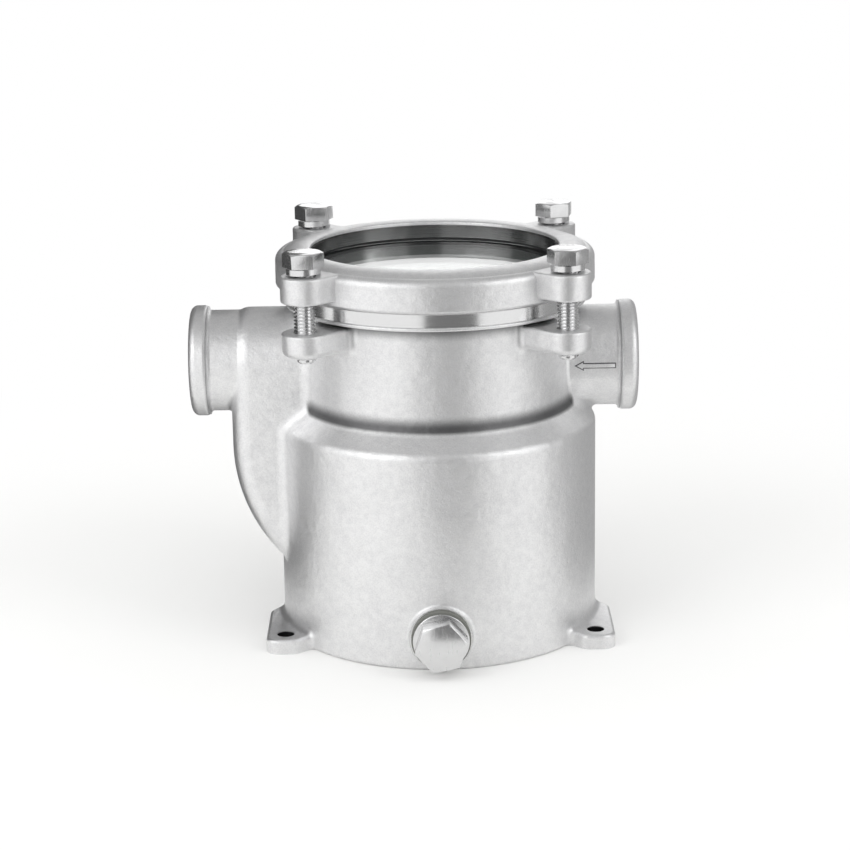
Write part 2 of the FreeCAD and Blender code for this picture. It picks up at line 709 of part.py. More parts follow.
def basket_ear(side):
    """Plate inside the sleeve that holds one end of the handle."""
    inner = BASKET_INNER_R - EAR_THICK
    ring = flat_ring(inner, BASKET_INNER_R, BAIL_PIVOT_Z - EAR_DROP, BAIL_PIVOT_Z + EAR_HALF_WIDTH)
    centre = BASKET_R * side
    window = rod_x(EAR_HALF_WIDTH, min(0, centre), max(0, centre), BAIL_PIVOT_Z)
    drop = Part.makeBox(BASKET_R, 2.0 * EAR_HALF_WIDTH, EAR_DROP,
                        FreeCAD.Vector(min(0, centre), -EAR_HALF_WIDTH, BAIL_PIVOT_Z - EAR_DROP))
    hole = rod_x(BAIL_WIRE_R + BAIL_PIN_GAP, -BASKET_R, BASKET_R, BAIL_PIVOT_Z)
    return ring.common(union(window, drop)).cut(hole)


def basket_bail():
    """Wire handle, a half ring whose ends turn in through the ears."""
    centre = FreeCAD.Vector(BAIL_R, 0, BAIL_PIVOT_Z)
    section = Part.makeCircle(BAIL_WIRE_R, centre, Y_AXIS)
    arch = Part.Face(Part.Wire(section)).revolve(ORIGIN, Z_AXIS, 180)
    pieces = []
    end_x = BASKET_INNER_R - EAR_THICK - BAIL_PIN_PROUD
    for side in (-1, 1):
        start, stop = sorted((side * end_x, side * BAIL_R))
        pieces.append(rod_x(BAIL_WIRE_R, start, stop, BAIL_PIVOT_Z))
        pieces.append(Part.makeSphere(BAIL_WIRE_R, FreeCAD.Vector(side * BAIL_R, 0, BAIL_PIVOT_Z)))
    return union(arch, *pieces)


def main():
    """Builds every piece and writes one file for each."""
    pieces = {
        "body_casting": body_casting(),
        "cover_ring": cover_ring(),
        "sight_glass": sight_glass(),
        "glass_gasket": glass_gasket(),
        "seal_ring": seal_ring(),
        "drain_plug": drain_plug(),
        "drain_seal": drain_seal(),
        "basket_sleeve": basket_sleeve(),
        "basket_floor": basket_floor(),
        "basket_rim": basket_rim(),
        "basket_ear_left": basket_ear(-1),
        "basket_ear_right": basket_ear(1),
        "basket_bail": basket_bail(),
    }
    for number, angle in enumerate(LUG_ANGLES, start=1):
        head_turn = BOLT_HEAD_TURNS[(number - 1) % len(BOLT_HEAD_TURNS)]
        pieces[f"lid_bolt_{number}"] = lid_bolt(angle, head_turn)
        pieces[f"spring_washer_{number}"] = spring_washer(angle)
    os.makedirs("parts", exist_ok=True)
    for name, shape in pieces.items():
        shape.exportStep(f"parts/{name}.step")


main()
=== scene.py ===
import logging
import math
from dataclasses import dataclass, replace
from enum import Enum

import bmesh
import bpy
from bpy.types import Material, Node, NodeSocket, NodeTree, Object
from mathutils import Matrix, Vector


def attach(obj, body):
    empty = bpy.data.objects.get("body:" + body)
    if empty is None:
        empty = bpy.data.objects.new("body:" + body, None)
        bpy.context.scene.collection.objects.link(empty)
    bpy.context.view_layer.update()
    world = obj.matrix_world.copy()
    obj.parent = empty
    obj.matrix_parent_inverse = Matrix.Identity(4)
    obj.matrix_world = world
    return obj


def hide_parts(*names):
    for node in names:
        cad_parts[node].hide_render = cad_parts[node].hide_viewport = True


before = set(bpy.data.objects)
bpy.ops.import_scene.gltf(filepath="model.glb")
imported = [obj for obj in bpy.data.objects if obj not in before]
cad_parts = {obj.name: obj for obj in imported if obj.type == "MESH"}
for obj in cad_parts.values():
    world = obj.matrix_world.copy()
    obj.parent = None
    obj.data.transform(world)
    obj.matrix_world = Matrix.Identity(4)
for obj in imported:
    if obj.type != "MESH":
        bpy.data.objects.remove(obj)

# Dresses the cast strainer: finishes for every solid, the cover's rounded crown, the cast
# lip under the collar, cut threads on the bolts, the plug and in both ports, the cast flow
# arrow, and a plain white studio.
# Sizes are in millimetres and MM turns them to metres.

MM = 0.001
SWEEP_GAP = 0.00001  # metres between points that a turned sweep makes one
WELD_GAP = 0.000001  # metres between points that are welded after it
NOISE_SPAN = (0.3, 0.7)  # values between which nearly all of a noise lies
PATCH_SPAN = (0.72, 1.24)  # the same for the sum of noises that colours a cast skin
SHEEN_SPAN = (0.7, 1.3)  # wider, so that the sheen changes less than the colour
WHITE = (1.0, 1.0, 1.0, 1.0)
PORT_HEIGHT = 103.4
INLET_FACE = 75.0
OUTLET_FACE = -92.0
DRAIN_HEIGHT = 12.8
DRAIN_FACE = -61.6
FLAT_FACE = 0.9  # part of a face's normal along the axis from which it counts as an end
CORE_OVERLAP = 0.05  # the cores stand this much over the root of their threads
CORE_SUNK = 0.5  # length of a core inside its head, and of its bare tip
BOLT_TURNS = (0.0, -11.0, 18.0, 7.0)  # degrees that each tightened head has come to rest at
BASKET_SHEETS = ("basket_sleeve", "basket_floor", "basket_rim", "basket_ear_left", "basket_ear_right")
LOG = logging.getLogger("strainer")


# Nodes and materials


def linear(code: str) -> tuple[float, float, float, float]:
    """Turns an sRGB hex colour to linear.

    Args:
        code: Colour such as "#C8C6C2".

    Returns:
        Linear red, green, blue and full alpha.
    """
    parts = []
    for start in (1, 3, 5):
        value = int(code[start:start + 2], 16) / 255.0
        parts.append(value / 12.92 if value <= 0.04045 else ((value + 0.055) / 1.055) ** 2.4)
    return (*parts, 1.0)


def add_node(tree: NodeTree, kind: str, links: dict | None = None, **settings) -> Node:
    """Adds a node with its settings and links.

    Args:
        tree: Tree to add to.
        kind: Type of the node.
        links: Input name or number, to the socket or the value that feeds it.
        **settings: Values of the node's own properties.

    Returns:
        The new node.
    """
    node = tree.nodes.new(kind)
    for name, value in settings.items():
        setattr(node, name, value)
    for name, value in (links or {}).items():
        if isinstance(value, NodeSocket):
            tree.links.new(value, node.inputs[name])
        else:
            node.inputs[name].default_value = value
    return node


def compute(tree: NodeTree, operation: str, *values) -> NodeSocket:
    """Calculates with sockets and numbers.

    Args:
        tree: Tree to add to.
        operation: Kind of calculation, such as "MULTIPLY".
        *values: Sockets or numbers, in the calculation's order.

    Returns:
        Socket with the result.
    """
    return add_node(tree, "ShaderNodeMath", dict(enumerate(values)), operation=operation).outputs[0]


def distance(tree: NodeTree, place: NodeSocket, middle: tuple = (0.0, 0.0, 0.0)) -> NodeSocket:
    """Measures how far a place is from a point.

    Args:
        tree: Tree to add to.
        place: Place on the object, in metres.
        middle: The point, in metres.

    Returns:
        Socket with the distance in metres.
    """
    node = add_node(tree, "ShaderNodeVectorMath", {0: place, 1: middle}, operation="DISTANCE")
    return node.outputs["Value"]


def mapped(tree: NodeTree, value: NodeSocket, span: tuple[float, float],
           result: tuple[float, float] = (0.0, 1.0), **settings) -> NodeSocket:
    """Stretches one range of a value to another.

    Args:
        tree: Tree to add to.
        value: Socket to stretch.
        span: First and last value of its range.
        result: What those two become.
        **settings: Values of the node's own properties.

    Returns:
        Socket with the stretched value.
    """
    return add_node(tree, "ShaderNodeMapRange",
                    {"Value": value, "From Min": span[0], "From Max": span[1],
                     "To Min": result[0], "To Max": result[1]}, **settings).outputs[0]


def blended(tree: NodeTree, share: NodeSocket, first: NodeSocket, second: NodeSocket) -> NodeSocket:
    """Goes from one value to another.

    Args:
        tree: Tree to add to.
        share: Socket that is 0 for the first value and 1 for the second.
        first: First value.
        second: Second value.

    Returns:
        Socket with the mixed value.
    """
    return add_node(tree, "ShaderNodeMix", {0: share, 2: first, 3: second}).outputs[0]


def coloured(tree: NodeTree, share: NodeSocket, first, second: str) -> NodeSocket:
    """Goes from one colour to another.

    Args:
        tree: Tree to add to.
        share: Socket that is 0 for the first colour and 1 for the second.
        first: First colour, as a socket or in hex.
        second: Second colour in hex.

    Returns:
        Socket with the mixed colour.
    """
    start = linear(first) if isinstance(first, str) else first
    node = add_node(tree, "ShaderNodeMix", {0: share, 6: start, 7: linear(second)}, data_type="RGBA")
    return node.outputs[2]


def noise(tree: NodeTree, place: NodeSocket, size: float, detail: float, rough: float = 0.5) -> NodeSocket:
    """Adds soft noise.

    Args:
        tree: Tree to add to.
        place: Place on the object, in metres.
        size: Size of its spots in millimetres.
        detail: Number of finer layers.
        rough: Weight of each finer layer.

    Returns:
        Socket with the noise.
    """
    return add_node(tree, "ShaderNodeTexNoise",
                    {"Vector": place, "Scale": 1.0 / (size * MM), "Detail": detail,
                     "Roughness": rough}).outputs["Fac"]


def new_material(name: str) -> Material:
    """Makes an empty node material.

    Args:
        name: Name of the real material and its finish.

    Returns:
        The material, with no nodes in it.
    """
    material = bpy.data.materials.new(name)
    material.use_nodes = True
    material.node_tree.nodes.clear()
    return material


def show(tree: NodeTree, shader: Node) -> None:
    """Makes a shader the surface of its material."""
    add_node(tree, "ShaderNodeOutputMaterial", {"Surface": shader.outputs[0]})


def show_solid(tree: NodeTree, colour: NodeSocket, roughness: NodeSocket, height: NodeSocket,
               depth: float, strength: float, metallic: float = 1.0) -> None:
    """Builds the surface of an opaque material.

    Args:
        tree: Material's tree.
        colour: Its colour.
        roughness: Its roughness.
        height: Its relief.
        depth: Depth of a relief of 1, in millimetres.
        strength: Share of the relief that shows.
        metallic: 1 for a metal and 0 for anything else.
    """
    bump = add_node(tree, "ShaderNodeBump", {"Strength": strength, "Distance": depth * MM, "Height": height})
    show(tree, add_node(tree, "ShaderNodeBsdfPrincipled",
                        {"Base Color": colour, "Metallic": metallic, "Roughness": roughness,
                         "Normal": bump.outputs[0]}))


def dress(obj: Object, material: Material) -> None:
    """Gives an object one material in all its slots.

    Args:
        obj: CAD node or piece.
        material: Finish that it gets.
    """
    if not obj.material_slots:
        obj.data.materials.append(material)
    for slot in obj.material_slots:
        slot.material = material


# Mesh steps


def deselect() -> None:
    """Leaves nothing selected."""
    bpy.ops.object.select_all(action="DESELECT")


def active() -> Object:
    """Gives the object that an operator has just made or joined."""
    return bpy.context.view_layer.objects.active


def only(obj: Object) -> None:
    """Selects one object alone and makes it active.

    Args:
        obj: Object to work on.
    """
    deselect()
    obj.select_set(True)
    bpy.context.view_layer.objects.active = obj


def settle(obj: Object) -> Object:
    """Moves an object's place, turn and size into its mesh.

    Args:
        obj: Piece as the operators left it.

    Returns:
        The same object, at the origin.
    """
    only(obj)
    bpy.ops.object.transform_apply(location=True, rotation=True, scale=True)
    return obj


def joined(name: str, parts: list[Object]) -> Object:
    """Joins several objects into one.

    Args:
        name: Name of the piece.
        parts: Objects, of which the first one takes the others in.

    Returns:
        The joined object.
    """
    only(parts[0])
    for part in parts[1:]:
        part.select_set(True)
    bpy.ops.object.join()
    whole = active()
    whole.name = name
    return settle(whole)


def pick_faces(obj: Object, wanted) -> None:
    """Selects faces in edit mode by their middle and normal.

    Args:
        obj: Object in edit mode.
        wanted: Test of a face's middle, in millimetres, and its normal.
    """
    mesh = bmesh.from_edit_mesh(obj.data)
    for face in mesh.faces:
        face.select_set(bool(wanted(face.calc_center_median() / MM, face.normal)))
    mesh.select_flush_mode()
    bmesh.update_edit_mesh(obj.data)


def apply_modifier(obj: Object, kind: str, **settings) -> None:
    """Adds a modifier and applies it.

    Args:
        obj: Piece to finish.
        kind: Type of the modifier.
        **settings: Values of the modifier's properties.
    """
    only(obj)
    modifier = obj.modifiers.new(kind.title(), kind)
    for name, value in settings.items():
        setattr(modifier, name, value)
    bpy.ops.object.modifier_apply(modifier=modifier.name)


def smooth(obj: Object, degrees: float = 35.0) -> None:
    """Shades an object smooth over its blunt edges.

    Args:
        obj: Piece to finish.
        degrees: Angle from which an edge stays sharp.
    """
    only(obj)
    bpy.ops.object.shade_smooth_by_angle(angle=math.radians(degrees))


def soften(obj: Object, width: float, segments: int = 2) -> None:
    """Rounds the sharp edges of a piece and shades it smooth.

    Args:
        obj: Piece to finish.
        width: Width of the rounding in millimetres.
        segments: Number of steps in the rounding.
    """
    apply_modifier(obj, "BEVEL", width=width * MM, segments=segments, limit_method="ANGLE",
                   angle_limit=math.radians(28.0), harden_normals=False)
    smooth(obj, 32.0)


def polygon(name: str, corners: list[tuple[float, float, float]], fill: str = "NOTHING") -> Object:
    """Adds a closed outline.

    Args:
        name: Name of the object.
        corners: X, Y and Z of each corner in millimetres, in order.
        fill: "NGON" for an outline with a face in it.

    Returns:
        The outline.
    """
    deselect()
    bpy.ops.mesh.primitive_circle_add(vertices=len(corners), radius=MM, fill_type=fill,
                                      location=(0.0, 0.0, 0.0))
    outline = active()
    outline.name = name
    for vertex, corner in zip(outline.data.vertices, corners):
        vertex.co = Vector(corner) * MM
    return outline


def revolve(obj: Object, steps: int, rise: float = 0.0, turns: int = 1) -> None:
    """Turns an outline round the upright axis.

    Args:
        obj: Outline that becomes the turned piece.
        steps: Straight steps in one turn.
        rise: Rise in one turn in millimetres. With one, the open ends are closed.
        turns: Number of turns.
    """
    apply_modifier(obj, "SCREW", angle=2.0 * math.pi, screw_offset=rise * MM, iterations=turns,
                   steps=steps, render_steps=steps, use_merge_vertices=True,
                   merge_threshold=SWEEP_GAP, use_normal_calculate=True)
    only(obj)
    bpy.ops.object.mode_set(mode="EDIT")
    bpy.ops.mesh.select_mode(type="VERT")
    bpy.ops.mesh.select_all(action="SELECT")
    bpy.ops.mesh.remove_doubles(threshold=WELD_GAP)
    if rise:
        bpy.ops.mesh.select_all(action="DESELECT")
        bpy.ops.mesh.select_non_manifold(extend=False)
        bpy.ops.mesh.fill()
        bpy.ops.mesh.select_all(action="SELECT")
    bpy.ops.mesh.normals_make_consistent(inside=False)
    bpy.ops.object.mode_set(mode="OBJECT")


def cylinder(vertices: int, radius: float, low: float, height: float, turn: float = 0.0) -> Object:
    """Adds an upright cylinder.

    Args:
        vertices: Number of its sides.
        radius: Radius in millimetres.
        low: Height of its underside.
        height: Its own height.
        turn: Turn round its axis in degrees.

    Returns:
        The cylinder, at the origin.
    """
    deselect()
    bpy.ops.mesh.primitive_cylinder_add(vertices=vertices, radius=radius * MM, depth=height * MM,
                                        location=(0.0, 0.0, (low + height / 2.0) * MM),
                                        rotation=(0.0, 0.0, math.radians(turn)))
    return settle(active())


def taper_end(obj: Object, rise: float, shrink: float) -> None:
    """Draws the top or the bottom of an upright piece out to a smaller end.

    Args:
        obj: Piece to change.
        rise: Height of the new end over the old one in millimetres, negative at the bottom.
        shrink: Size of the new end as a share of the old one.
    """
    side = math.copysign(1.0, rise)
    bpy.ops.object.mode_set(mode="EDIT")
    bpy.ops.mesh.select_mode(type="FACE")
    pick_faces(obj, lambda middle, normal: normal.z * side > FLAT_FACE)
    bpy.ops.mesh.extrude_region_move(TRANSFORM_OT_translate={"value": (0.0, 0.0, rise * MM)})
    bpy.ops.transform.resize(value=(shrink, shrink, 1.0), center_override=(0.0, 0.0, 0.0))
    bpy.ops.object.mode_set(mode="OBJECT")


# Finishes


class Axis(Enum):
    """Axis of a turned surface, by the numbers of its own and its two cross directions."""

    X = (0, 1, 2)
    Y = (1, 0, 2)
    Z = (2, 0, 1)


@dataclass(frozen=True)
class TurnedZone:
    """Part of a casting that was cut on a lathe.

    Attributes:
        axis: Direction of the spindle.
        span: Lowest and highest place along the axis.
        radii: Smallest and largest radius.
        height: Height of the axis over the base, for axes that lie flat.
        tone: Colour of the cut surface. A dark tone is painted shade that stands for a dark reflection.
    """

    axis: Axis
    span: tuple[float, float]
    radii: tuple[float, float]
    height: float = 0.0
    tone: str = "#E6E6E6"

    def mask(self, tree: NodeTree, axes: list[NodeSocket]) -> tuple[NodeSocket, NodeSocket]:
        """Builds the nodes that find this zone.

        Args:
            tree: Material's tree.
            axes: X, Y and Z of the place on the object, in metres.

        Returns:
            Socket that is 1 inside the zone, and one that runs across its turning marks.
        """
        along, first, second = self.axis.value
        lifted = axes[second]
        if self.height:
            lifted = compute(tree, "SUBTRACT", lifted, self.height * MM)
        flat = add_node(tree, "ShaderNodeCombineXYZ", {0: axes[first], 1: lifted}).outputs[0]
        radius = distance(tree, flat)
        inside = None
        for socket, (low, high) in ((axes[along], self.span), (radius, self.radii)):
            for limit, test in ((low, "GREATER_THAN"), (high, "LESS_THAN")):
                step = compute(tree, test, socket, limit * MM)
                inside = step if inside is None else compute(tree, "MULTIPLY", inside, step)
        return inside, compute(tree, "ADD", axes[along], radius)


@dataclass(frozen=True)
class PaintedShadeCorner:
    """Painted shade in an inner corner or hole round an upright axis.

    Attributes:
        heights: Height where the painted shade starts and where it is full.
        radii: Radius up to which it is full and where it ends.
        tone: Colour of the painted shade.
        centre: X and Y of the axis.
    """

    heights: tuple[float, float]
    radii: tuple[float, float]
    tone: str = "#6F6F70"
    centre: tuple[float, float] = (0.0, 0.0)

    def mask(self, tree: NodeTree, axes: list[NodeSocket]) -> NodeSocket:
        """Builds the nodes that find this corner.

        Args:
            tree: Material's tree.
            axes: X, Y and Z of the place on the object, in metres.

        Returns:
            Socket that is 1 deep in the corner and 0 outside it.
        """
        flat = add_node(tree, "ShaderNodeCombineXYZ", {0: axes[0], 1: axes[1]}).outputs[0]
        radius = distance(tree, flat, (self.centre[0] * MM, self.centre[1] * MM, 0.0))
        soft = "SMOOTHSTEP"
        deep = mapped(tree, axes[2], [height * MM for height in self.heights], interpolation_type=soft)
        near = mapped(tree, radius, [edge * MM for edge in self.radii], (1.0, 0.0), interpolation_type=soft)
        return compute(tree, "MULTIPLY", deep, near)


@dataclass(frozen=True)
class Finish:
    """Material that is built from nodes.

    Attributes:
        name: Name of the real material and how it was made.
    """

    name: str

    def surface(self, tree: NodeTree, place: NodeSocket) -> None:
        """Builds the nodes of the surface.

        Args:
            tree: Material's tree.
            place: Place on the object, in metres.
        """
        raise NotImplementedError

    def build(self) -> Material:
        """Makes the material.

        Returns:
            The material, with its surface.
        """
        material = new_material(self.name)
        tree = material.node_tree
        self.surface(tree, add_node(tree, "ShaderNodeTexCoord").outputs["Object"])
        return material


@dataclass(frozen=True)
class CastStainless(Finish):
    """Investment cast stainless steel, blasted with glass bead: pale, satin, finely grained.

    Attributes:
        light: Colour of the blasted skin.
        shade: Colour of its slightly duller patches.
        sheen: Roughness of the dull and of the light patches.
        grain: Size and depth of the blasting's grain. The real 0.2 mm is drawn coarser to show.
        mottle: Size and depth of the shell mould's marks.
        swell: Length and depth of the slow waves that a cast wall has.
        pit: Distance, width as a share of it, and depth of the small pits.
        tool_mark: Distance and depth of the turning marks.
        cut_sheen: Lowest and highest roughness where the casting was turned.
        zones: Machined parts of the surface.
        corners: Painted shade in inner corners and holes of the surface.
    """

    name: str = "stainless_investment_cast_bead_blasted"
    light: str = "#F7F7F7"
    shade: str = "#E8E8E9"
    sheen: tuple[float, float] = (0.56, 0.42)
    grain: tuple[float, float] = (0.55, 0.055)
    mottle: tuple[float, float] = (2.6, 0.09)
    swell: tuple[float, float] = (16.0, 0.6)
    pit: tuple[float, float, float] = (1.5, 0.28, 0.035)
    tool_mark: tuple[float, float] = (0.5, 0.006)
    cut_sheen: tuple[float, float] = (0.13, 0.24)
    zones: tuple[TurnedZone, ...] = ()
    corners: tuple[PaintedShadeCorner, ...] = ()

    def skin(self, tree: NodeTree, place: NodeSocket) -> tuple[NodeSocket, NodeSocket]:
        """Builds the surface as it left the mould and the blasting.

        Args:
            tree: Material's tree.
            place: Place on the object, in metres.

        Returns:
            Socket with the height in millimetres, and one that tells its patches apart.
        """
        apart, width, deep = self.pit
        pits = add_node(tree, "ShaderNodeTexVoronoi", {"Vector": place, "Scale": 1.0 / (apart * MM)},
                        feature="SMOOTH_F1").outputs["Distance"]
        height = mapped(tree, pits, (0.0, width), (-deep, 0.0))
        grain = noise(tree, place, self.grain[0], 2.0, 0.6)
        mottle = noise(tree, place, self.mottle[0], 2.0)
        swell = noise(tree, place, self.swell[0], 3.0, 0.55)
        for wave, depth in ((grain, self.grain[1]), (mottle, self.mottle[1]), (swell, self.swell[1])):
            height = compute(tree, "MULTIPLY_ADD", wave, depth, height)
        patches = grain
        for wave, weight in ((swell, 0.4), (mottle, 0.6)):
            patches = compute(tree, "MULTIPLY_ADD", wave, weight, patches)
        return height, patches

    def surface(self, tree: NodeTree, place: NodeSocket) -> None:
        """Builds a cast skin and, in its zones, a turned one."""
        split = add_node(tree, "ShaderNodeSeparateXYZ", {0: place})
        axes = [split.outputs[index] for index in range(3)]
        height, patches = self.skin(tree, place)
        colour = coloured(tree, mapped(tree, patches, PATCH_SPAN), self.shade, self.light)
        roughness = mapped(tree, patches, SHEEN_SPAN, self.sheen)
        # Painted shade in inner corners and holes.
        for corner in self.corners:
            colour = coloured(tree, corner.mask(tree, axes), colour, corner.tone)
        apart, deep = self.tool_mark
        for zone in self.zones:
            inside, across = zone.mask(tree, axes)
            marks = add_node(tree, "ShaderNodeTexNoise",
                             {"W": compute(tree, "MULTIPLY", across, 1.0 / (apart * MM)), "Scale": 1.0,
                              "Detail": 2.0}, noise_dimensions="1D").outputs["Fac"]
            height = blended(tree, inside, height, compute(tree, "MULTIPLY", marks, deep))
            roughness = blended(tree, inside, roughness, mapped(tree, marks, NOISE_SPAN, self.cut_sheen))
            colour = coloured(tree, inside, colour, zone.tone)
        show_solid(tree, colour, roughness, height, 1.0, 1.0)


@dataclass(frozen=True)
class PolishedStainless(Finish):
    """Cold headed and tumbled stainless steel: bright, with faint brushing and handling marks.

    Attributes:
        bright: Colour of the metal.
        worn: Colour of its duller patches.
        roughness: Lowest and highest roughness.
        streak: Distance between brushed lines in millimetres.
        stretch: Size of a brushed line's steps along it, as a share of those across.
        patch: Size of the handling marks in millimetres.
        depth: Depth of the brushing in millimetres.
    """

    name: str = "stainless_cold_headed_tumbled"
    bright: str = "#EDEDED"
    worn: str = "#DFDFE0"
    roughness: tuple[float, float] = (0.2, 0.28)
    streak: float = 0.7
    stretch: float = 0.15
    patch: float = 4.0
    depth: float = 0.006

    def surface(self, tree: NodeTree, place: NodeSocket) -> None:
        """Builds a brushed, slightly worn skin."""
        drawn = add_node(tree, "ShaderNodeMapping", {"Vector": place, "Scale": (1.0, 1.0, self.stretch)})
        brushed = noise(tree, drawn.outputs[0], self.streak, 3.0)
        tone = coloured(tree, noise(tree, place, self.patch, 2.0), self.worn, self.bright)
        show_solid(tree, tone, mapped(tree, brushed, NOISE_SPAN, self.roughness), brushed, self.depth, 0.5)


@dataclass(frozen=True)
class ToughenedGlass(Finish):
    """Float glass, toughened and polished: clear, colourless face on, with sharp reflections.

    Attributes:
        tint: Colour that light takes on its way through.
        smear: Size of the faint wipe marks in millimetres.
        roughness: Roughness between the wipe marks and on them.
        index: How strongly it bends light.
    """

    name: str = "toughened_float_glass"
    tint: str = "#F4F8F6"
    smear: float = 9.0
    roughness: tuple[float, float] = (0.0, 0.03)
    index: float = 1.52

    def surface(self, tree: NodeTree, place: NodeSocket) -> None:
        """Builds clear glass that lets lamp light through to what is behind it."""
        wiped = noise(tree, place, self.smear, 4.0, 0.6)
        glass = add_node(tree, "ShaderNodeBsdfPrincipled",
                         {"Base Color": linear(self.tint), "IOR": self.index, "Transmission Weight": 1.0,
                          "Roughness": mapped(tree, wiped, (0.4, 0.7), self.roughness)})
        clear = add_node(tree, "ShaderNodeBsdfTransparent", {"Color": linear(self.tint)})
        ray = add_node(tree, "ShaderNodeLightPath")
        show(tree, add_node(tree, "ShaderNodeMixShader",
                            {0: ray.outputs["Is Shadow Ray"], 1: glass.outputs[0], 2: clear.outputs[0]}))


@dataclass(frozen=True)
class MouldedElastomer(Finish):
    """Moulded nitrile or fibre sealing material: matt, with a fine flow pattern.

    Attributes:
        body: Main colour.
        bloom: Colour of its paler patches.
        roughness: Lowest and highest roughness.
        flow: Size of the flow pattern in millimetres.
        depth: Depth of its relief in millimetres.
    """

    body: str
    bloom: str
    roughness: tuple[float, float] = (0.5, 0.7)
    flow: float = 1.2
    depth: float = 0.05

    def surface(self, tree: NodeTree, place: NodeSocket) -> None:
        """Builds a matt skin."""
        flow = noise(tree, place, self.flow, 4.0)
        tone = coloured(tree, flow, self.body, self.bloom)
        show_solid(tree, tone, mapped(tree, flow, (0.0, 1.0), self.roughness), flow, self.depth, 0.4,
                   metallic=0.0)


# Threads and heads


@dataclass(frozen=True)
class ThreadForm:
    """Helical ridge of a screw thread.

    Attributes:
        crest: Radius of the thread's top.
        root: Radius at its bottom.
        pitch: Rise in one turn.
        turns: Number of turns.
        steps: Straight steps in one turn.
        foot: Half of the ridge's width at the root, as a share of the pitch.
    """

    crest: float
    root: float
    pitch: float
    turns: int
    steps: int
    foot: float = 0.47

    def build(self, name: str, low: float) -> Object:
        """Sweeps the thread's triangle up round the vertical axis.

        Args:
            name: Name of the object.
            low: Height at which the ridge starts.

        Returns:
            Ridge round the vertical axis.
        """
        half = self.foot * self.pitch
        section = ((self.root, -half), (self.root, half), (self.crest, 0.0))
        ridge = polygon(name, [(radius, 0.0, low + half + height) for radius, height in section])
        revolve(ridge, self.steps, self.pitch, self.turns)
        smooth(ridge)
        return ridge


@dataclass(frozen=True)
class HexagonHead:
    """Hexagon head whose upper corners are turned down on a lathe.

    Attributes:
        across_flats: Distance between opposite flats.
        height: Height of the head.
        turn: Turn of the head in degrees.
        chamfer: Slope of the turned corners in degrees.
        top: Radius of the flat top as a share of half the distance between flats.
        edge: Rounding of its edges.
    """

    across_flats: float
    height: float
    turn: float
    chamfer: float = 30.0
    top: float = 0.965
    edge: float = 0.12

    def build(self, name: str, low: float) -> Object:
        """Cuts the head from a hexagon and a turned blank, which is a touch wider.

        Args:
            name: Name of the object.
            low: Height of its underside.

        Returns:
            Head on the vertical axis.
        """
        corner = self.across_flats / math.sqrt(3.0)
        flat = self.across_flats / 2.0
        head = cylinder(6, corner, low, self.height, self.turn + 90.0)
        head.name = name
        drop = (corner - flat) * math.tan(math.radians(self.chamfer))
        turned = cylinder(72, corner * 1.001, low, self.height - drop)
        taper_end(turned, drop, self.top * flat / corner)
        apply_modifier(head, "BOOLEAN", operation="INTERSECT", object=turned, solver="EXACT")
        bpy.data.objects.remove(turned)
        soften(head, self.edge)
        return head


def shaft(name: str, radius: float, low: float, high: float, point: float) -> Object:
    """Makes a round core with a chamfered lower end.

    Args:
        name: Name of the object.
        radius: Radius of the core.
        low: Height of its end.
        high: Height of its top.
        point: Depth of the chamfer.

    Returns:
        Core on the vertical axis.
    """
    core = cylinder(48, radius, low + point, high - low - point)
    core.name = name
    taper_end(core, -point, (radius - 0.8 * point) / radius)
    soften(core, 0.1)
    return core


# Sub-assemblies


@dataclass(frozen=True)
class Castings:
    """Cast body and cover ring, with the machined places that their seals and pipes need.

    The body is turned at its collar, ports and drain, and the cover in its window and rebate.
    The crease at the neck's root, the corner under the collar and the foot holes get painted shade.
    """

    body_zones: tuple[TurnedZone, ...] = (
        TurnedZone(Axis.Z, (127.3, 132.6), (44.0, 57.0)),
        TurnedZone(Axis.X, (56.5, 75.1), (0.0, 17.1), PORT_HEIGHT),
        TurnedZone(Axis.X, (74.9, 75.1), (0.0, 19.4), PORT_HEIGHT),
        TurnedZone(Axis.X, (-92.1, -73.5), (0.0, 17.1), PORT_HEIGHT),
        TurnedZone(Axis.X, (-92.1, -91.9), (0.0, 19.4), PORT_HEIGHT),
        TurnedZone(Axis.Y, (-61.7, -61.5), (0.0, 11.4), DRAIN_HEIGHT),
    )
    cover_zones: tuple[TurnedZone, ...] = (
        # The window's bore wall gets a dark tone: a painted reflection of dark surroundings.
        TurnedZone(Axis.Z, (140.2, 145.2), (45.0, 46.9), tone="#8E8E8E"),
        TurnedZone(Axis.Z, (133.0, 140.35), (45.0, 51.7)),
    )
    # Painted shade in the crease at the neck's root and in the corner under the collar.
    body_painted_shades: tuple[PaintedShadeCorner, ...] = (
        PaintedShadeCorner((94.0, 88.9), (52.1, 53.1)),
        PaintedShadeCorner((120.5, 126.1), (53.0, 54.5), "#7C7C7D"),
    )
    # Painted shade inside the three foot holes.
    foot_hole_shade: PaintedShadeCorner = PaintedShadeCorner((5.45, 5.0), (3.3, 3.45), "#3C3C3D")
    foot_circle: float = 67.1
    foot_angles: tuple[float, ...] = (-30.0, 90.0, 210.0)

    def dress(self) -> tuple[Material, Material]:
        """Gives both castings their skins.

        Returns:
            Finish of the body and finish of the cover.
        """
        holes = []
        for angle in map(math.radians, self.foot_angles):
            centre = (self.foot_circle * math.cos(angle), self.foot_circle * math.sin(angle))
            holes.append(replace(self.foot_hole_shade, centre=centre))
        body = CastStainless(zones=self.body_zones, corners=(*self.body_painted_shades, *holes)).build()
        cover = CastStainless(name="stainless_investment_cast_cover", zones=self.cover_zones).build()
        dress(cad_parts["body_casting"], body)
        dress(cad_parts["cover_ring"], cover)
        LOG.info("castings dressed")
        return body, cover


